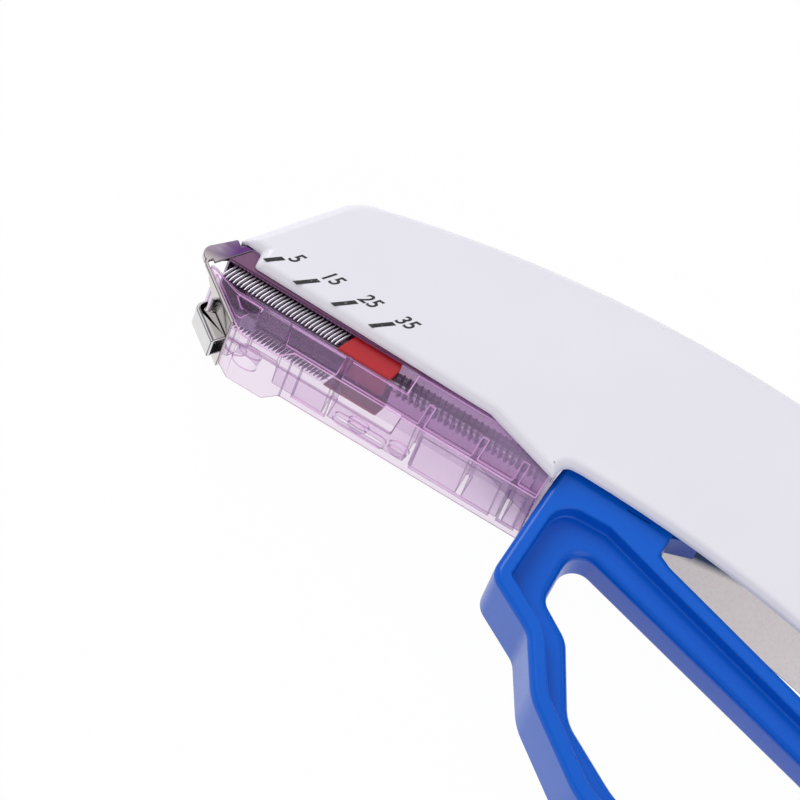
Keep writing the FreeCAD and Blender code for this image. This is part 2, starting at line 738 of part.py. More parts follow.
pocket(housing, "floor_slot", outline((25.9, -5.0, 1.05), (33.9, -5.0, 1.05), (33.9, -2.9, 1.05),
                                      (25.9, -2.9, 1.05)), "3", height="0 - cartridge_floor + 1",
       role="XZ_Plane")
# Sunk panels between the edges of the underside, in front of each cross wall
panel = size("cartridge_width") / 2 - 1.9
PANELS = [(19.4, 24.6), (38.3, 50.9), (52.3, 54.9)]
for number, (x0, x1) in enumerate(PANELS, start=1):
    pocket(housing, "panel_%d" % number, box(x0, -panel, x1, panel), "0.35",
           height="0 - cartridge_floor", role="XZ_Plane")
for number, x in enumerate((29.6, 36.0), start=1):
    pad(housing, "peg_%d" % number, ring(x, -1.2, 1.5), "0.9", height="0 - cartridge_floor",
        role="XZ_Plane")
place_at_nose(housing)

# Clear cover with lips that close the side walls from above
cover = new_body("cartridge_cover")
lid_low = size("cover_top") - size("cover_thickness")
lip_low = size("wall_top") + 0.1
inside = size("sheet") + size("plate_rim") + size("seat_gap")
lip_front = (inside + lip_low * math.cos(lean)) / math.sin(lean)
top_front = (inside + size("cover_top") * math.cos(lean)) / math.sin(lean)
pad(cover, "lid", outline((lip_front, lip_low), (size("cartridge_end"), lip_low),
                          (size("cartridge_end"), size("cover_top")),
                          (top_front, size("cover_top"), 0.9)), "cartridge_width", both=True)
pocket(cover, "under_lid", box(-2, lip_low - 1, size("cartridge_end") + 1, lid_low),
       "cartridge_width - cartridge_wall * 2", both=True)
blade_way = blade_back + 0.2
pocket(cover, "blade_way", outline(nose(-2, -3), nose(9, -3), nose(9, blade_way),
                                   nose(-2, blade_way)), "blade_width + 0.4", both=True)
place_at_nose(cover)

# Rail between the staple legs, with a groove for pusher and spring
rail = new_body("staple_rail")
rail_top = size("crown_y") - size("staple_wire") * 0.6 - size("seat_gap")
rail_front = blade_back + 0.3
rail_end = size("cartridge_end") - 1.6
pad(rail, "rail_block", outline(
    ((rail_front + rail_top * math.cos(lean)) / math.sin(lean), rail_top),
    ((rail_front + size("rail_bottom") * math.cos(lean)) / math.sin(lean) + 2.2,
     size("rail_bottom")),
    (rail_end, size("rail_bottom")), (rail_end, rail_top)), "rail_width", both=True)
groove_floor = size("rod_y") - size("coil_radius") - size("coil_wire") / 2 - 0.15
pocket(rail, "groove", box(7.0, groove_floor, rail_end + 1, rail_top + 1), "rail_groove",
       both=True)
place_at_nose(rail)


# Staples: square wire in one group of separate solids, each leaning back a little
def staple_row():
    wire, width, leg = size("staple_wire"), size("staple_width"), size("staple_leg")
    lean_back = math.radians(size("staple_lean"))
    drop = Vector(-math.cos(lean_back), -math.sin(lean_back), 0) * leg
    across = Vector(math.sin(lean_back), -math.cos(lean_back), 0) * (wire / 2)
    inner = Vector(drop).normalize() * wire
    copies = []
    for number in range(int(size("staple_count"))):
        crown = Vector(size("first_staple_x") + number * size("staple_pitch"),
                       size("crown_y") + wire / 2, 0)
        corner = crown - across
        half_width = Vector(0, 0, width / 2)
        step = Vector(0, 0, wire)
        tip = drop - inner * 1.3
        points = [corner - half_width, corner + half_width, corner + half_width + drop,
                  corner + half_width + tip - step, corner + half_width + inner - step,
                  corner - half_width + inner + step, corner - half_width + tip + step,
                  corner - half_width + drop]
        face = Part.Face(Part.makePolygon(points + [points[0]]))
        copies.append(face.extrude(across * 2))
    return Part.makeCompound(copies)


staples = doc.addObject("Part::Feature", "staples")
staples.Label = "staples"
staples.Shape = staple_row()
place_at_nose(staples)

# Red pusher: saddle over the rail with a tongue in its groove
last_crown = (size("first_staple_x")
              + (int(size("staple_count")) - 1) * size("staple_pitch") + size("staple_wire"))
back_lean = math.radians(size("staple_lean"))
pusher_low, pusher_top = -0.7, lid_low - 0.1


def pusher_front(y):
    return last_crown + 0.08 + (y - size("crown_y")) / math.tan(back_lean)


pusher_back = pusher_front(pusher_low) + size("pusher_length")
pusher = new_body("staple_pusher")
pad(pusher, "saddle", outline((pusher_front(pusher_low), pusher_low),
                              (pusher_back, pusher_low, 0.4),
                              (pusher_back + 0.5, 1.2, 0.8),
                              (pusher_back, pusher_top, 0.6),
                              (pusher_front(pusher_top), pusher_top)), "staple_width", both=True)
pocket(pusher, "rail_space", box(last_crown - 6, pusher_low - 1, pusher_back + 3,
                                 rail_top + 0.1), "rail_width + 0.2", both=True)
pad(pusher, "tongue", box(pusher_front(1.0) + 0.6, groove_floor + 0.15, pusher_back - 0.4,
                          rail_top + 0.2), "rail_groove - 0.3", both=True)
pocket(pusher, "rod_bore", ring(size("rod_y"), 0, size("rod_radius") + 0.1), "200", both=True,
       role="YZ_Plane")
place_at_nose(pusher)

# Guide rod, its plug at the rear, and the coil round it
rod = new_body("spring_rod")
pad(rod, "rod", ring(size("rod_y"), 0, size("rod_radius")), "cartridge_end - 0.1 - 8", height="8",
    role="YZ_Plane")
place_at_nose(rod)

plug = new_body("cartridge_end_plug")
plug_front = rail_end + 0.05
pad(plug, "plug", box(plug_front, floor_y + 0.05, size("cartridge_end"), lid_low - 0.05),
    "cartridge_width - cartridge_wall * 2 - 0.1", both=True)
pocket(plug, "rod_seat", ring(size("rod_y"), 0, size("rod_radius") + 0.02), "200", both=True,
       role="YZ_Plane")
place_at_nose(plug)


def coil(label, radius, wire, turns, length):
    """Coil of square wire along its own Z axis, in straight lengths of a twelfth of a turn."""
    steps = int(turns) * 12
    sections = []
    for number in range(steps + 1):
        turn = 2 * math.pi * number / 12
        foot = (length - wire) * number / steps
        spots = [Vector(r * math.cos(turn), r * math.sin(turn), foot + rise)
                 for r, rise in ((radius - wire / 2, 0), (radius + wire / 2, 0),
                                 (radius + wire / 2, wire), (radius - wire / 2, wire))]
        sections.append(Part.makePolygon(spots + [spots[0]]))
    spring = doc.addObject("Part::Feature", label)
    spring.Label = label
    spring.Shape = Part.makeLoft(sections, True, True)
    return spring


spring_front = pusher_back + 0.55
pusher_spring = coil("pusher_spring", size("coil_radius"), size("coil_wire"), size("coil_turns"),
                     plug_front - 0.1 - spring_front)
pusher_spring.Placement = FreeCAD.Placement(
    Vector(size("nose_x") + spring_front, size("nose_y") + size("rod_y"),
           size("body_thickness") / 2), FreeCAD.Rotation(Vector(0, 1, 0), 90))

return_spring = coil("return_spring", size("return_radius"), size("return_wire"),
                     size("return_turns"), size("return_top_y") - size("return_foot_y") - 0.1)
return_spring.Placement = FreeCAD.Placement(
    Vector(size("return_x"), size("return_foot_y") + 0.05, size("body_thickness") / 2),
    FreeCAD.Rotation(Vector(1, 0, 0), -90))

# Thin leaf between rail and nose step, under the front staples
leaf = new_body("staple_retainer")
pad(leaf, "leaf", outline((4.6, -1.85), (5.4, -1.75), (10.2, -1.4), (10.2, -1.1), (5.4, -1.45),
                          (4.6, -1.5)), "4", both=True)
place_at_nose(leaf)

# Check every object, then write one file per piece
doc.recompute()
pieces = [thing for thing in doc.Objects
          if thing.TypeId in ("PartDesign::Body", "Part::Feature")]
for thing in doc.Objects:
    if "Invalid" in thing.State or "Error" in thing.State:
        raise RuntimeError("failed: " + thing.Name)
os.makedirs("parts", exist_ok=True)
for piece in pieces:
    if piece.Shape.isNull() or not piece.Shape.isValid():
        raise RuntimeError("bad shape: " + piece.Label)
    piece.Shape.exportStep("parts/" + piece.Label + ".step")
    bounds = piece.Shape.BoundBox
    print("%-20s %2d solid(s) %9.1f mm3  x %.1f..%.1f y %.1f..%.1f z %.1f..%.1f" % (
        piece.Label, len(piece.Shape.Solids), piece.Shape.Volume, bounds.XMin, bounds.XMax,
        bounds.YMin, bounds.YMax, bounds.ZMin, bounds.ZMax))
print("stroke %.3f mm, pin moves back %.3f mm" % (stroke, pin_back))
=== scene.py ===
# %% [markdown]
# A skin stapler in its tray light.
# The packed CAD model comes in as a fixed frame. It already has the true outlines: two
# white shells, a blue trigger with a finger loop, a clear cartridge and a steel nose.
# This file gives those pieces their finishes and soft edges, and adds what is too fine for
# the solids: round staple wire, round coils, the printed scale and the light around it all.

# %% Load the frame
import json
import math

import bmesh
import bpy
from mathutils import Matrix, Vector


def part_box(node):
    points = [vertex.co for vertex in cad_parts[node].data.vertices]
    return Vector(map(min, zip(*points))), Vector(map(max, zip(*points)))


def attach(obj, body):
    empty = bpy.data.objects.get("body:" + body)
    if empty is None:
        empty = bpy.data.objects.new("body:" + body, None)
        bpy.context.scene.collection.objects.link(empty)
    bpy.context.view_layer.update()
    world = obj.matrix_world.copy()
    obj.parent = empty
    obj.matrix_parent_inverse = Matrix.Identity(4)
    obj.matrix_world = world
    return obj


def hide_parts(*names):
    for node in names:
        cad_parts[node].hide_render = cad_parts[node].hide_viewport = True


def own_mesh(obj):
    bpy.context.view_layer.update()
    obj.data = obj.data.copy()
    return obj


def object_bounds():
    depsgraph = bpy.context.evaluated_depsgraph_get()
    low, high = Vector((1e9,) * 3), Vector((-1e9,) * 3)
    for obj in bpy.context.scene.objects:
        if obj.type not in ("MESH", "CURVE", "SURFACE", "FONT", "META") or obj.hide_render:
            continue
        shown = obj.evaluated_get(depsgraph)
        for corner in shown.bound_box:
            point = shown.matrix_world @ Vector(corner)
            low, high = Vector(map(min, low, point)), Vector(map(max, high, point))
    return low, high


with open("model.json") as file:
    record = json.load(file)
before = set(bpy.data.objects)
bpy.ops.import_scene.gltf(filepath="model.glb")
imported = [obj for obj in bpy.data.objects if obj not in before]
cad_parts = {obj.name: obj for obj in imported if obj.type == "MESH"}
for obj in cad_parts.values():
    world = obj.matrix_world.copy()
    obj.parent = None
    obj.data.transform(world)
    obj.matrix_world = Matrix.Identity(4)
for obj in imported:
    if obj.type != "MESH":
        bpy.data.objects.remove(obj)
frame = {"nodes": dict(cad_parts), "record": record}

cad_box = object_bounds()
MM = 0.001
BODY_OF = {node: body for body, nodes in frame["record"]["behaviour"]["bodies"].items()
           for node in nodes}
bpy.ops.object.select_all(action="DESELECT")
print("CAD box", cad_box, "and", len(BODY_OF), "nodes")

# %% [markdown]
# The camera comes first, because everything later is judged through it. The picture looks
# down on the numbered side, from below the nose, with the stapler turned so that its nose
# points up and to the left. A long lens keeps the parallel edges nearly parallel, so the
# camera stands far away and is turned by three given directions.

# %% Camera
right = Vector((0.8555, 0.4903, 0.170)).normalized()
back = Vector((0.067, -0.430, 0.902))
back = (back - right * back.dot(right)).normalized()
up = back.cross(right)
aim = Vector((-30.7, -12.75, 17.6)) * MM
distance = 1.1
FRAME_WIDTH = 0.1088
camera_data = bpy.data.cameras.new("camera")
camera_data.sensor_width = 36.0
camera_data.lens = camera_data.sensor_width * distance / FRAME_WIDTH
camera_data.clip_end = 20.0
camera = bpy.data.objects.new("camera", camera_data)
bpy.context.scene.collection.objects.link(camera)
camera.matrix_world = Matrix((right, up, back)).transposed().to_4x4()
camera.location = aim + back * distance
bpy.context.scene.camera = camera
print("lens", round(camera_data.lens), "mm")

# %% [markdown]
# Shader maths reads best as plain sums. A small class wraps a socket, so that
# a * b + 1 adds the Math nodes by itself.


# %% Sums in a material
class Wire:
    """A value, colour or vector on its way through a material."""

    def __init__(self, material, socket):
        self.material = material
        self.socket = socket

    def _math(self, operation, other):
        return self.material.node("ShaderNodeMath", {"operation": operation},
                                  {0: self, 1: other})

    def __add__(self, other):
        return self._math("ADD", other)

    def __mul__(self, other):
        return self._math("MULTIPLY", other)

    def __sub__(self, other):
        return self._math("SUBTRACT", other)

    def between(self, low, high):
        """0 at low, 1 at high, and held outside."""
        return self.material.node("ShaderNodeMapRange", {}, {0: self, 1: low, 2: high})


print("a Wire can be added, multiplied and subtracted")

# %% [markdown]
# A real surface changes a little from place to place, so every material here needs the
# same few things: a place on the piece, a noise, a blend of two colours, a bump. The class
# Finish has one short method for each, on top of one Principled shader.


# %% Finishes
class Finish:
    """A material with one Principled shader and short ways to add nodes."""

    def __init__(self, name):
        self.made = bpy.data.materials.new(name)
        self.made.use_nodes = True
        self.tree = self.made.node_tree
        self.shader = self.tree.nodes["Principled BSDF"]
        self.plain = Wire(self, self.shader.outputs[0])
        self.place = self.node("ShaderNodeTexCoord", {}, {}, output="Object")

    def join(self, value, socket):
        if isinstance(value, Wire):
            self.tree.links.new(value.socket, socket)
        else:
            socket.default_value = value

    def node(self, kind, settings, inputs, output=0):
        made = self.tree.nodes.new(kind)
        for key, value in settings.items():
            setattr(made, key, value)
        for key, value in inputs.items():
            self.join(value, made.inputs[key])
        return Wire(self, made.outputs[output])

    def along(self, axis):
        """The place along X, Y or Z, in millimetres."""
        spot = self.node("ShaderNodeSeparateXYZ", {}, {0: self.place}, output=axis)
        return spot * 1000.0

    def noise(self, scale, detail=3.0, roughness=0.5, stretch=(1.0, 1.0, 1.0)):
        place = self.node("ShaderNodeVectorMath", {"operation": "MULTIPLY"},
                          {0: self.place, 1: stretch})
        return self.node("ShaderNodeTexNoise", {},
                         {"Vector": place, "Scale": scale, "Detail": detail,
                          "Roughness": roughness})

    def blend(self, mask, low, high):
        """A colour between two others."""
        return self.node("ShaderNodeMix", {"data_type": "RGBA"},
                         {"Factor": mask, 6: low, 7: high}, output=2)

    def bump(self, height, strength, distance):
        return self.node("ShaderNodeBump", {}, {"Height": height, "Strength": strength,
                                                 "Distance": distance})

    def see_through(self, tint):
        return self.node("ShaderNodeBsdfTransparent", {}, {0: shade(tint)})

    def show(self, amount, first, second):
        """Send a mix of two shaders to the surface."""
        mixed = self.node("ShaderNodeMixShader", {}, {0: amount, 1: first, 2: second})
        self.join(mixed, self.tree.nodes["Material Output"].inputs[0])

    def set(self, **values):
        names = {"colour": "Base Color", "roughness": "Roughness", "metallic": "Metallic",
                 "coat": "Coat Weight", "coat_roughness": "Coat Roughness",
                 "normal": "Normal", "ior": "IOR", "specular": "Specular IOR Level",
                 "glow": "Emission Color", "glow_strength": "Emission Strength"}
        for key, value in values.items():
            self.join(value, self.shader.inputs[names[key]])


def shade(colour, factor=1.0):
    """A colour with its fourth number, made darker or lighter."""
    return (colour[0] * factor, colour[1] * factor, colour[2] * factor, 1.0)


print("a Finish can", [name for name in vars(Finish) if not name.startswith("_")])

# %% [markdown]
# Moulded plastic is never one flat value. Its gloss varies a little where the melt cooled,
# and a fine texture from the mould breaks the highlights. A noise drives the roughness and
# another, much finer, drives a slight bump. Where the two halves of a mould meet, a hair
# line stays on the part: here it runs along the middle plane of the trigger.

# %% Moulded plastics
MIDDLE_Z = (cad_box[0][2] + cad_box[1][2]) / 2 / MM
LINE_FOOT, LINE_CREST = 0.10, 0.02


def moulded(name, colour, gloss, grain=0.015, coat=0.0, parting=0.0, shine=0.5):
    """Satin plastic: slow change in colour and gloss, with the mould's fine grain."""
    finish = Finish(name)
    slow = finish.noise(60.0, detail=2.0)
    fine = finish.noise(5200.0, detail=2.0)
    height = fine
    tone = finish.blend(slow, shade(colour), shade(colour, 0.94))
    if parting:
        z = finish.along("Z")
        line = (z.between(MIDDLE_Z - LINE_FOOT, MIDDLE_Z - LINE_CREST)
                * z.between(MIDDLE_Z + LINE_FOOT, MIDDLE_Z + LINE_CREST))
        height = fine + line * parting
        tone = finish.blend(line * 0.4, tone, shade(colour, 0.7))
    finish.set(colour=tone, roughness=slow * 0.08 + (gloss - 0.04),
               normal=finish.bump(height, 0.12, grain * MM),
               coat=coat, coat_roughness=0.12, ior=1.5, specular=shine)
    return finish.made


white = moulded("moulded_white", (0.815, 0.80, 0.85), 0.36)
blue = moulded("moulded_blue", (0.0004, 0.108, 0.60), 0.27, coat=0.12, parting=6.0, shine=0.20)
red = moulded("moulded_red", (0.47, 0.010, 0.018), 0.32)
grey = moulded("filled_grey", (0.20, 0.205, 0.22), 0.45)
print("plastics", [m.name for m in (white, blue, red, grey)])

# %% [markdown]
# The far shell is the same white outside. Its inner face was left rough by the mould, a warm
# grey with a coarse grain under the trigger, and its thin wall lets some light of the table
# through. That light is painted on as a weak emission, and only the flat inner face wears
# this finish. Past a leaning line the face lies deep inside the body, in the near shell's
# shade, and there a painted shadow turns it dark.

# %% Rough inner face of the far shell
SHADOW_LEAN, SHADOW_PLACE, SHADOW_FADE = 0.127, 5.43, 1.3
PAINTED_GLOW_STRENGTH = 0.62
rough_inside = Finish("rough_inner_face")
cloth = rough_inside.noise(2600.0, detail=4.0, roughness=0.7)
weave = rough_inside.noise(700.0, detail=2.0, stretch=(1.0, 0.25, 1.0))
under_trigger = rough_inside.along("X").between(-6.0, 2.0)
# Painted shadow: past this leaning line the near shell's shade is painted on in dark navy.
inward = rough_inside.along("Y") - rough_inside.along("X") * SHADOW_LEAN + SHADOW_PLACE
deep = inward.between(0.0, SHADOW_FADE)
skin = rough_inside.blend(cloth, shade((0.52, 0.47, 0.44)), shade((0.74, 0.70, 0.67)))
skin = rough_inside.blend(deep, skin, shade((0.05, 0.07, 0.12)))
rough_inside.set(colour=rough_inside.blend(under_trigger, shade((0.80, 0.77, 0.84)), skin),
                 roughness=cloth * 0.2 + 0.35, ior=1.5,
                 normal=rough_inside.bump(cloth + weave, 0.5, 0.06 * MM))
# Painted light: the emission stands for table light through the wall, and is dark in the
# painted shadow.
painted_glow_skin = rough_inside.blend(cloth, shade((0.52, 0.47, 0.45)), shade((0.82, 0.77, 0.74)))
painted_glow_skin = rough_inside.blend(deep, painted_glow_skin, shade((0.02, 0.04, 0.09)))
rough_inside.set(glow=rough_inside.blend(under_trigger, shade((1.0, 0.94, 1.0)), painted_glow_skin),
                 glow_strength=PAINTED_GLOW_STRENGTH)
print("inner face lit through", rough_inside.made.name)

# %% [markdown]
# The nose and the staples are bright steel. Rolled sheet has a grain along one direction,
# so its noise is stretched; drawn wire is smoother and shinier.

# %% Steels


def steel(name, colour, gloss, stretch, streak=0.12, wave=0.0, painted_reflection=None):
    """Bright metal with streaks along the way it was rolled or drawn, and pressing waves."""
    finish = Finish(name)
    streaks = finish.noise(900.0, detail=3.0, stretch=stretch)
    dull = finish.noise(120.0, detail=2.0)
    tone = finish.blend(dull, shade(colour), shade(colour, 0.8))
    # An optional painted reflection is mixed into the colour.
    if painted_reflection:
        tone = painted_reflection(finish, tone)
    height = streaks * 0.01 + finish.noise(260.0, detail=1.0) * wave
    finish.set(colour=tone, metallic=1.0,
               roughness=streaks * streak + (gloss - streak / 2),
               normal=finish.bump(height, 0.3, MM))
    return finish.made


def painted_cap_reflection(finish, tone):
    """Painted reflection: around the cap the bright sheet mirrors the violet plastic that it
    holds.
    """
    above = finish.along("Y").between(-8.6, -6.8)
    behind = finish.along("X").between(-62.8, -60.4)
    streaks = finish.noise(420.0, detail=2.0, stretch=(0.3, 1.0, 1.0)).between(0.35, 0.65)
    pale = finish.blend(streaks, shade((0.20, 0.13, 0.24)), shade((0.58, 0.50, 0.64)))
    return finish.blend(above, tone, finish.blend(behind, pale, shade((0.15, 0.06, 0.24))))


# The sheet's colour carries a painted reflection of the violet cap.
sheet_steel = steel("rolled_sheet_steel", (0.74, 0.70, 0.68), 0.16, (1.0, 1.0, 0.06),
                    wave=0.22, painted_reflection=painted_cap_reflection)
anvil_steel = steel("pressed_anvil_steel", (0.78, 0.77, 0.78), 0.12, (1.0, 1.0, 0.06),
                    wave=0.5)
cut_edge = steel("sheared_edge_steel", (0.26, 0.23, 0.25), 0.30, (1.0, 1.0, 0.3))
wire_steel = steel("staple_wire_steel", (0.40, 0.375, 0.425), 0.12, (1.0, 1.0, 0.1),
                   streak=0.04)
spring_steel = steel("spring_wire_steel", (0.26, 0.23, 0.31), 0.26, (1.0, 1.0, 0.2))
pin_steel = steel("ground_pin_steel", (0.64, 0.64, 0.66), 0.24, (1.0, 1.0, 0.1))
print("steels", [m.name for m in (sheet_steel, anvil_steel, cut_edge, wire_steel,
                                  spring_steel, pin_steel)])

# %% [markdown]
# The cartridge is clear plastic with a violet tint. True refraction through so many walls
# would be slow and noisy. Here a Transparent shader tints what lies behind, and a Mix
# Shader adds the plastic's own shine, more of it where a wall is seen at a slant. A part may
# also give a mask of where it turns darker; under the white shells and between the staples
# that is painted shade.

# %% Clear plastics
DEEPEST = 0.92


def clear(name, tint, body_colour, share, slant=0.35, darker_where=None, dark_colour=None):
    """Tinted clear plastic. share is how much of its own colour shows, face on."""
    finish = Finish(name)
    cloud = finish.noise(140.0, detail=2.0)
    rim = finish.node("ShaderNodeLayerWeight", {}, {"Blend": 0.35}, output=1)
    amount = rim * slant + share
    colour = finish.blend(cloud, shade(body_colour), shade(body_colour, 0.85))
    if darker_where:
        mask = darker_where(finish)
        amount = amount + mask * (DEEPEST - share)
        colour = finish.blend(mask, colour, shade(dark_colour))
    finish.set(colour=colour, roughness=cloud * 0.05 + 0.06, ior=1.5,
               normal=finish.bump(cloud, 0.05, 0.05 * MM))
    finish.show(amount, finish.see_through(tint), finish.plain)
    return finish.made


print("a clear finish shows at most", DEEPEST, "of its own colour face on")

# %% [markdown]
# Three places of the cartridge are darker than the rest: the rear of the trough towards the
# white shells and the rail under the row of staples, both painted shade, and the lip that
# hangs from the cover. Each is a mask made of the place on the piece. The bevelled edges
# have a finish of their own, with a painted highlight and painted shade.

# %% Darker places, painted shade and edges


def shade_under_the_body(finish):
    """Painted shade: the rear of the trough turns darker towards the white shells that shade
    it.
    """
    x, y = finish.along("X"), finish.along("Y")
    behind = x.between(-30.0, -25.0) * 0.12 + x.between(-20.0, -12.0) * 0.30
    return behind * y.between(-13.0, -7.5)


def row_shadow(finish):
    """The rail is dark where the staples straddle it, and clear behind and below them."""
    return finish.along("X").between(-36.0, -40.5) * finish.along("Y").between(-8.6, -7.4)


def cover_lip(finish):
    """The cover's hanging lip is darker in front and clears to the rear."""
    front = finish.along("X").between(-25.0, -30.0) * 0.55 + 0.2
    return front * finish.along("Z").between(15.0, 15.2)


def painted_edge_light(name):
    """Painted light: a pink highlight where edges face the eye, dark violet shade where they
    turn away.
    """
    finish = Finish(name)
    cloud = finish.noise(140.0, detail=2.0)
    turned = finish.node("ShaderNodeLayerWeight", {}, {"Blend": 0.5}, output=1)
    # The facing paints the colour: a pink highlight face on, dark violet painted shade turned
    # away.
    away = turned.between(0.30, 0.42)
    pink = finish.blend(cloud, shade((0.96, 0.66, 0.93)), shade((0.80, 0.36, 0.76)))
    finish.set(colour=finish.blend(away, pink, shade((0.20, 0.08, 0.28))),
               roughness=cloud * 0.05 + 0.08, ior=1.5)
    finish.show(away * -0.15 + 0.75, finish.see_through((0.98, 0.90, 0.97)), finish.plain)
    return finish.made


# The trough's dark violet near the rear is painted shade under the white shells.
trough_clear = clear("clear_trough", (0.965, 0.915, 0.975), (0.74, 0.54, 0.82), 0.035,
                     slant=0.30, darker_where=shade_under_the_body, dark_colour=(0.22, 0.11, 0.36))
floor_clear = clear("clear_floor", (0.955, 0.90, 0.955), (0.84, 0.72, 0.86), 0.06, slant=0.15)
edge_pink_highlight = painted_edge_light("clear_edge_pink")
cover_clear = clear("clear_cover", (0.90, 0.80, 0.90), (0.50, 0.33, 0.58), 0.12,
                    darker_where=cover_lip, dark_colour=(0.17, 0.045, 0.11))
edge_dark = clear("clear_edge_dark", (0.60, 0.30, 0.55), (0.16, 0.05, 0.15), 0.60)
# The rail's dark row is painted shadow between the staple wires.
rail_clear = clear("clear_rail", (0.98, 0.95, 0.985), (0.80, 0.62, 0.86), 0.035, slant=0.22,
                   darker_where=row_shadow, dark_colour=(0.045, 0.022, 0.045))
print("clear plastics", [m.name for m in (trough_clear, floor_clear, cover_clear, rail_clear)])

# %% [markdown]
# CAD edges are sharper than any real edge. A copy of a node is merged, its flat faces are
# joined again, and the edges to soften are chosen in code by their angle and place. The
# Bevel operator rounds them, and it can give the new faces a material of their own: that is
# how the bright pink edges of clear plastic are made, a painted highlight where it gathers
# light.

# %% Softened copies


def alone(item):
    bpy.ops.object.select_all(action="DESELECT")
    item.select_set(True)
    bpy.context.view_layer.objects.active = item


def dress(item, finishes):
    item.data.materials.clear()
    for finish in finishes:
        item.data.materials.append(finish)


def finished(item, name, node, smooth=35.0):
    """Name and smooth a piece that stands for a CAD node."""
    item.name = name
    alone(item)
    bpy.ops.object.shade_smooth_by_angle(angle=math.radians(smooth))
    even = item.modifiers.new("even_normals", "WEIGHTED_NORMAL")
    even.keep_sharp = True
    bpy.ops.object.modifier_apply(modifier=even.name)
    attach(item, BODY_OF[node])
    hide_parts(node)


print("a piece is dressed once, then finished")

# %% [markdown]
# The rounding itself works on the bare faces. The rim of a finger hole needs a larger radius
# than the other edges, so one group of edges may be rounded before the rest.

# %% Rounding edges


def rounded_first(item, shape, first, edge_finish):
    """Give some edges a large radius before the rest are softened. first is (test, width)."""
    test, width = first
    for edge in shape.edges:
        middle = (edge.verts[0].co + edge.verts[1].co) / 2 / MM
        edge.select_set(len(edge.link_faces) == 2 and edge.is_convex
                        and edge.calc_face_angle() > math.radians(60) and test(middle))
    bmesh.update_edit_mesh(item.data)
    bpy.ops.mesh.bevel(offset=width * MM, segments=5, profile=0.5, affect="EDGES",
                       clamp_overlap=False, material=edge_finish)
    bpy.ops.mesh.select_all(action="DESELECT")
    return bmesh.from_edit_mesh(item.data)


def softened(node, finishes, width, steps=2, sharper=40.0, where=None, by_normal=None,
             first=None):
    """A copy of a node with its sharp edges rounded; the last finish is that of the edges."""
    source = frame["nodes"][node]
    item = bpy.data.objects.new("soft_" + node, source.data.copy())
    bpy.context.scene.collection.objects.link(item)
    dress(item, finishes)
    alone(item)
    bpy.ops.object.mode_set(mode="EDIT")
    bpy.ops.mesh.select_all(action="SELECT")
    bpy.ops.mesh.remove_doubles(threshold=0.002 * MM)
    bpy.ops.mesh.dissolve_limited(angle_limit=math.radians(0.4))
    bpy.ops.mesh.select_mode(type="EDGE")
    bpy.ops.mesh.select_all(action="DESELECT")
    shape = bmesh.from_edit_mesh(item.data)
    for face in shape.faces:
        face.material_index = by_normal(face) if by_normal else 0
    if first:
        shape = rounded_first(item, shape, first, len(finishes) - 1)
    count = 0
    for edge in shape.edges:
        if len(edge.link_faces) != 2 or edge.calc_face_angle() < math.radians(sharper):
            continue
        middle = (edge.verts[0].co + edge.verts[1].co) / 2 / MM
        if where is None or where(middle):
            edge.select_set(True)
            count += 1
    bmesh.update_edit_mesh(item.data)
    bpy.ops.mesh.bevel(offset=width * MM, segments=steps, profile=0.5, affect="EDGES",
                       clamp_overlap=False, material=len(finishes) - 1)
    bpy.ops.object.mode_set(mode="OBJECT")
    finished(item, "soft_" + node, node)
    print(item.name, count, "edges rounded,", len(item.data.polygons), "faces")


# %% [markdown]
# The white shells are moulded with a generous round along the outer edge. The CAD solid has
# a slope there, so only its two lines are softened. The thin seam between the halves stays.

# %% White shells
BOTTOM_Z, TOP_Z = cad_box[0][2] / MM, cad_box[1][2] / MM
SLOPE = 1.2
WALL = (1.3, 1.5)


def outer_slope(spot):
    return spot.z > TOP_Z - SLOPE or spot.z < BOTTOM_Z + SLOPE


def outside_faces(face):
    """0 for the flat inner face, one wall above the table, and 1 for all the others."""
    height = face.calc_center_median().z / MM
    return 0 if face.normal.z > 0.9 and WALL[0] < height < WALL[1] else 1


softened("body_shell_right", [white], 0.42, steps=3, sharper=30.0, where=outer_slope)
softened("body_shell_left", [rough_inside.made, white], 0.42, steps=3, sharper=30.0,
         where=outer_slope, by_normal=outside_faces)

# %% [markdown]
# The trigger is a thick blue moulding. All its outer edges and the rims of its sunk web are
# round to the touch, since fingers pull on it, so every sharp edge outside gets a radius.

# %% Blue trigger
FORK_END = -8.6
WEB_HALF = 3.7


def outside_the_fork(spot):
    return spot.y < FORK_END


def hole_edge(spot):
    """The rim of the finger hole lies in the two sunk webs."""
    return outside_the_fork(spot) and abs(abs(spot.z - MIDDLE_Z) - WEB_HALF) < 0.05


softened("trigger", [blue], 0.34, steps=3, sharper=30.0, where=outside_the_fork,
         first=(hole_edge, 1.45))

# %% [markdown]
# The trough's clear edges show as bright pink lines, a painted highlight. Its floor is seen
# through less plastic than its walls, so faces that look down take a paler finish.

# %% Clear trough and cover


def floor_faces(face):
    return 1 if face.normal.y < -0.7 else 0


softened("cartridge_housing", [trough_clear, floor_clear, edge_pink_highlight], 0.16, steps=1,
         by_normal=floor_faces)
softened("cartridge_cover", [cover_clear, edge_dark], 0.10, steps=1)
softened("staple_rail", [rail_clear], 0.08, steps=1)
softened("cartridge_end_plug", [trough_clear], 0.10, steps=1)

# %% [markdown]
# The red pusher has soft moulded edges. Bracket and anvil are pressed from sheet, and a
# pressed edge is round on one side and has a slight burr on the other.

# %% Pusher and nose
softened("staple_pusher", [red], 0.15, steps=2)
softened("nose_bracket", [sheet_steel, cut_edge], 0.12, steps=2)
softened("anvil", [anvil_steel, cut_edge], 0.12, steps=2)

# %% [markdown]
# Pieces inside keep their CAD shape and take their finish.

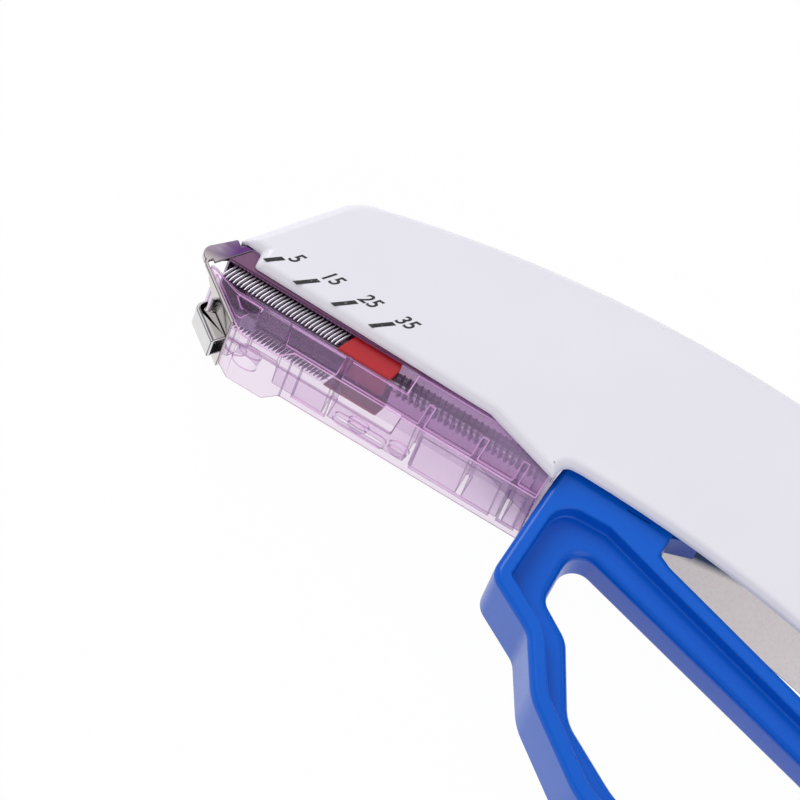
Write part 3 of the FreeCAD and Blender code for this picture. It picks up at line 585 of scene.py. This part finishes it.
# %% Inner pieces
INNER = {"trigger_pin": pin_steel, "drive_arm": grey, "drive_pin": pin_steel,
         "driver_blade": spring_steel, "driver_carrier": grey, "spring_rod": pin_steel,
         "staple_retainer": spring_steel}
for name, finish in INNER.items():
    dress(frame["nodes"][name], [finish])
print(len(INNER), "inner pieces dressed")

# %% [markdown]
# A staple starts as round wire, bent twice into a square U with two sharp tips. One half is
# made from a small circle: it is pulled along the crown, turned through the bend, pulled
# down the leg and narrowed to the tip. A mirror gives the other half, and an array the row.

# %% Sizes of a staple
WIRE = 0.25
WIRE_SIDES = 8
LEG, HALF, BEND = 4.8, 6.3, 0.75
TIP_ROOM, TIP_LENGTH, TIP_SHARE = 0.7, 0.6, 0.25
NOSE_X, NOSE_Y = -64.0, -9.0
first_crown = Vector((NOSE_X, NOSE_Y, MIDDLE_Z)) + Vector((5.06, 3.74 + 0.28, 0.0))
lean = math.radians(68.0)
down_leg = Vector((-math.cos(lean), -math.sin(lean), 0.0))
print("first crown at", [round(place, 2) for place in first_crown])

# %% Half a staple in round wire
bpy.ops.object.select_all(action="DESELECT")
bpy.ops.mesh.primitive_circle_add(vertices=WIRE_SIDES, radius=WIRE * MM, fill_type="NGON",
                                  location=first_crown * MM)
staple = bpy.context.object
bpy.ops.object.mode_set(mode="EDIT")
bpy.ops.mesh.select_all(action="SELECT")
bpy.ops.mesh.extrude_region_move(
    TRANSFORM_OT_translate={"value": Vector((0, 0, HALF - WIRE - BEND)) * MM})
hub = first_crown + Vector((0, 0, HALF - WIRE - BEND)) + down_leg * BEND
bpy.ops.mesh.spin(steps=4, angle=math.radians(-90.0), center=hub * MM,
                  axis=Vector((0, 0, 1)).cross(down_leg))
bpy.ops.mesh.extrude_region_move(
    TRANSFORM_OT_translate={"value": down_leg * (LEG - BEND - TIP_ROOM) * MM})
bpy.ops.mesh.extrude_region_move(
    TRANSFORM_OT_translate={"value": down_leg * TIP_LENGTH * MM})
bpy.ops.transform.resize(value=(TIP_SHARE, TIP_SHARE, TIP_SHARE))
bpy.ops.object.mode_set(mode="OBJECT")
print("half a staple has", len(staple.data.polygons), "faces")

# %% [markdown]
# The staples lie side by side in the cartridge, so their pitch is hardly more than the wire.
# Two modifiers make the row, and both are applied, so that the row is one plain mesh.

# %% The whole row of staples
PITCH = 0.605
COUNT = 31
mirror =staple.modifiers.new("other_half", "MIRROR")
mirror.use_axis = (False, False, True)
mirror.merge_threshold = 0.001 * MM
row = staple.modifiers.new("row", "ARRAY")
row.count = COUNT
row.use_relative_offset = False
row.use_constant_offset = True
row.constant_offset_displace = (PITCH * MM, 0, 0)
alone(staple)
bpy.ops.object.modifier_apply(modifier=mirror.name)
bpy.ops.object.modifier_apply(modifier=row.name)
bpy.ops.object.transform_apply(location=True, rotation=True, scale=True)
bpy.ops.object.mode_set(mode="EDIT")
bpy.ops.mesh.select_all(action="SELECT")
bpy.ops.mesh.normals_make_consistent(inside=False)
bpy.ops.object.mode_set(mode="OBJECT")
dress(staple, [wire_steel])
finished(staple, "staple_wires", "staples", smooth=60.0)
print("staples", COUNT, "with", len(staple.data.polygons), "faces")

# %% [markdown]
# A coil spring is a small circle carried round an axis while it climbs. The Screw modifier
# does just that, and the two open ends are closed afterwards.

# %% Round coils
STEPS_A_TURN = 14


def coil(node, name, turns, wire, axis):
    """A round wire coil inside the box of the CAD spring."""
    low, high = (Vector(c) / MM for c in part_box(node))
    middle = (low + high) / 2
    length = (high - low)["XYZ".index(axis)]
    radius = (high - low).z / 2 - wire / 2
    bpy.ops.object.select_all(action="DESELECT")
    bpy.ops.mesh.primitive_circle_add(vertices=WIRE_SIDES, radius=wire / 2 * MM,
                                      fill_type="NOTHING", location=(0, 0, 0),
                                      rotation=(math.radians(90), 0, 0))
    item = bpy.context.object
    bpy.ops.object.transform_apply(location=False, rotation=True, scale=False)
    bpy.ops.object.mode_set(mode="EDIT")
    bpy.ops.mesh.select_all(action="SELECT")
    bpy.ops.transform.translate(value=(radius * MM, 0, wire / 2 * MM))
    bpy.ops.object.mode_set(mode="OBJECT")
    climb = item.modifiers.new("climb", "SCREW")
    climb.axis = "Z"
    climb.iterations = turns
    climb.steps = climb.render_steps = STEPS_A_TURN
    climb.screw_offset = (length - wire) / turns * MM
    alone(item)
    bpy.ops.object.modifier_apply(modifier=climb.name)
    bpy.ops.object.mode_set(mode="EDIT")
    bpy.ops.mesh.select_all(action="SELECT")
    bpy.ops.mesh.remove_doubles(threshold=0.001 * MM)
    bpy.ops.mesh.select_mode(type="EDGE")
    bpy.ops.mesh.select_all(action="DESELECT")
    bpy.ops.mesh.select_non_manifold()
    bpy.ops.mesh.fill()
    bpy.ops.mesh.select_all(action="SELECT")
    bpy.ops.mesh.normals_make_consistent(inside=False)
    bpy.ops.object.mode_set(mode="OBJECT")
    turned = {"X": (0, math.radians(90), 0), "Y": (math.radians(-90), 0, 0)}[axis]
    item.rotation_euler = turned
    item.location = Vector((low.x if axis == "X" else middle.x,
                            low.y if axis == "Y" else middle.y, middle.z)) * MM
    bpy.ops.object.transform_apply(location=True, rotation=True, scale=True)
    dress(item, [spring_steel])
    finished(item, name, node, smooth=60.0)
    print(name, "radius", round(radius, 2), "length", round(length, 2), "faces",
          len(item.data.polygons))
    return item


pusher_coil = coil("pusher_spring", "pusher_coil", turns=24, wire=0.36, axis="X")
return_coil = coil("return_spring", "return_coil", turns=7, wire=0.55, axis="Y")

# %% [markdown]
# Each coil gets its own copy of its mesh; nothing here presses it shorter.

# %% Springs get meshes of their own


def shorten(item):
    """Give a coil its own copy of its mesh."""
    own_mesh(item)


shorten(pusher_coil)
shorten(return_coil)

# %% [markdown]
# The scale is printed on the flat side, above the staple window: four short bars that lean
# forward, with the number of staples left beside each in slanted figures. The ink stands a
# hair above the plastic. A bar is a plane skewed onto its two sides and given a thickness;
# a number is text with a slant, turned into a mesh.

# %% Ink and places of the scale
face_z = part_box("body_shell_right")[1][2]
ink = Finish("black_ink")
worn = ink.noise(2600.0, detail=3.0)
ink.set(colour=ink.blend(worn.between(0.60, 0.74), shade((0.012, 0.010, 0.012)),
                         shade((0.16, 0.15, 0.16))),
        roughness=worn * 0.2 + 0.4)

# Each mark: its number, the bar's middle in the picture, the bar's length against a whole
# one, and the number's middle in the picture.
MARKS = [
    ("5", (273.5, 258.5), 0.78, (296.9, 257.7)),
    ("15", (306.2, 281.0), 1.0, (333.9, 278.6)),
    ("25", (344.2, 302.8), 1.0, (370.6, 300.5)),
    ("35", (382.0, 324.5), 1.0, (408.0, 322.4)),
]
NOSE_IN_PICTURE = (204, 253)


def on_side(px, py):
    """Where a spot of the picture lies on the numbered side, in metres."""
    dx, dy = px - NOSE_IN_PICTURE[0], py - NOSE_IN_PICTURE[1]
    return Vector((0.1145 * dx + 0.0740 * dy + NOSE_X,
                   0.0777 * dx - 0.1291 * dy + NOSE_Y, 0)) * MM


def printed(item, name):
    """Ink a mark, put its place into its mesh and hang it on the body."""
    alone(item)
    bpy.ops.object.transform_apply(location=True, rotation=True, scale=True)
    item.name = name
    dress(item, [ink.made])
    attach(item, "body")


def middle_of(item):
    spots = [v.co for v in item.data.vertices]
    return Vector([(min(s[i] for s in spots) + max(s[i] for s in spots)) / 2
                   for i in range(3)])


print(len(MARKS), "marks on the side at", round(face_z / MM, 2), "mm")

# %% Printed scale
BAR_LENGTH = Vector((2.62, 2.23, 0.0))
BAR_WIDTH = Vector((0.74, -0.15, 0.0))
INK = 0.012
for number, bar_spot, share, number_spot in MARKS:
    long_side, short_side = BAR_LENGTH * share, BAR_WIDTH
    bpy.ops.object.select_all(action="DESELECT")
    bpy.ops.mesh.primitive_plane_add(size=1.0, location=(0, 0, 0))
    bar = bpy.context.object
    bar.data.transform(Matrix((long_side * MM, short_side * MM, Vector((0, 0, 1))))
                       .transposed().to_4x4())
    bpy.ops.object.mode_set(mode="EDIT")
    bpy.ops.mesh.select_all(action="SELECT")
    bpy.ops.mesh.normals_make_consistent(inside=False)
    bpy.ops.mesh.extrude_region_move(TRANSFORM_OT_translate={"value": (0, 0, INK * MM)})
    bpy.ops.mesh.select_all(action="SELECT")
    bpy.ops.mesh.normals_make_consistent(inside=False)
    bpy.ops.mesh.bevel(offset=0.004 * MM, segments=1, affect="EDGES")
    bpy.ops.object.mode_set(mode="OBJECT")
    bar.location = on_side(*bar_spot) + Vector((0, 0, face_z))
    printed(bar, "scale_bar_" + number)

    bpy.ops.object.select_all(action="DESELECT")
    bpy.ops.object.text_add(location=(0, 0, 0))
    label = bpy.context.object
    label.data.body = number
    label.data.size = 2.45 * MM
    label.data.shear = 0.75
    label.data.extrude = INK / 2 * MM
    label.data.offset = 0.05 * MM
    label.data.space_character = 1.05
    bpy.ops.object.convert(target="MESH")
    label = bpy.context.object
    centre = middle_of(label)
    label.location = on_side(*number_spot) - Vector((centre.x, centre.y,
                                                     -face_z - INK / 2 * MM))
    printed(label, "scale_number_" + number)
print("scale printed", INK, "mm thick")

# %% [markdown]
# The stapler lies on a plain white table. The floor shows as nearly pure white to the camera,
# to mirrors and through clear plastic, and keeps a trace of the soft shadow.

# %% Floor
WHITE_SHARE = 0.98
floor_z = cad_box[0][2]
bpy.ops.object.select_all(action="DESELECT")
bpy.ops.mesh.primitive_plane_add(size=6.0, location=(0, 0, floor_z - 0.02 * MM))
floor = bpy.context.object
floor.name = "floor"
paper = Finish("white_table")
grain = paper.noise(300.0)
paper.set(colour=paper.blend(grain, shade((0.90, 0.90, 0.90)), shade((0.88, 0.88, 0.88))),
          roughness=0.7, specular=0.2)
glow = paper.node("ShaderNodeEmission", {}, {"Color": (1, 1, 1, 1), "Strength": 1.0})
seen = paper.node("ShaderNodeLightPath", {}, {}, output="Is Camera Ray")
mirrored = paper.node("ShaderNodeLightPath", {}, {}, output="Is Glossy Ray")
through = paper.node("ShaderNodeLightPath", {}, {}, output="Is Transmission Ray")
paper.show((seen + mirrored + through).between(0.0, 1.0) * WHITE_SHARE, paper.plain, glow)
dress(floor, [paper.made])
print("floor at", round(floor_z / MM, 2), "mm")

# %% [markdown]
# Two large soft lamps light the stapler, the stronger one from the nose's side. A lamp is
# placed by its direction from the spot that the camera aims at, and faces it.

# %% Lamps


def lamp(name, size, power, direction, away):
    data = bpy.data.lights.new(name, "AREA")
    data.size = size
    data.energy = power
    item = bpy.data.objects.new(name, data)
    bpy.context.scene.collection.objects.link(item)
    facing = Vector(direction).normalized()
    item.location = aim + facing * away
    item.rotation_euler = facing.to_track_quat("Z", "Y").to_euler()
    print(name, power, "W from", away, "m")


lamp("key_lamp", size=0.7, power=7.5, direction=(-0.75, 0.55, 0.75), away=1.2)
lamp("fill_lamp", size=1.0, power=4.3, direction=(0.7, -0.7, 0.7), away=1.3)

# %% [markdown]
# The sky that the shiny parts mirror has a dark band halfway up, as a studio has between its
# white table and its ceiling screen: without it bright steel turns flat. Everything else is
# lit by one even pale grey, and the camera sees white behind the table.

# %% Sky
EVEN_GREY = (0.57, 0.57, 0.595, 1.0)
BANDS = ((0.42, 0.10), (0.62, 0.16), (0.74, 0.80))
world = bpy.data.worlds.new("soft_sky")
world.use_nodes = True
tree = world.node_tree
spot = tree.nodes.new("ShaderNodeTexCoord")
split = tree.nodes.new("ShaderNodeSeparateXYZ")
height = tree.nodes.new("ShaderNodeValToRGB")
bands = height.color_ramp
bands.elements[0].position = 0.30
bands.elements[0].color = (0.95, 0.95, 0.97, 1.0)
bands.elements[1].position = 0.92
bands.elements[1].color = (0.86, 0.84, 0.84, 1.0)
for place, level in BANDS:
    bands.elements.new(place).color = (level, level, level * 1.05, 1.0)
path = tree.nodes.new("ShaderNodeLightPath")
soft = tree.nodes.new("ShaderNodeMix")
soft.data_type = "RGBA"
soft.inputs[6].default_value = EVEN_GREY
shown = tree.nodes.new("ShaderNodeMix")
shown.data_type = "RGBA"
shown.inputs[7].default_value = (1.0, 1.0, 1.0, 1.0)
tree.links.new(spot.outputs["Generated"], split.inputs[0])
tree.links.new(split.outputs["Z"], height.inputs[0])
tree.links.new(path.outputs["Is Glossy Ray"], soft.inputs["Factor"])
tree.links.new(height.outputs[0], soft.inputs[7])
tree.links.new(path.outputs["Is Camera Ray"], shown.inputs["Factor"])
tree.links.new(soft.outputs[2], shown.inputs[6])
tree.links.new(shown.outputs[2], tree.nodes["Background"].inputs["Color"])
bpy.context.scene.world = world
bpy.context.scene.view_settings.view_transform = "Standard"
print("sky with", len(bands.elements), "bands")

# %% [markdown]
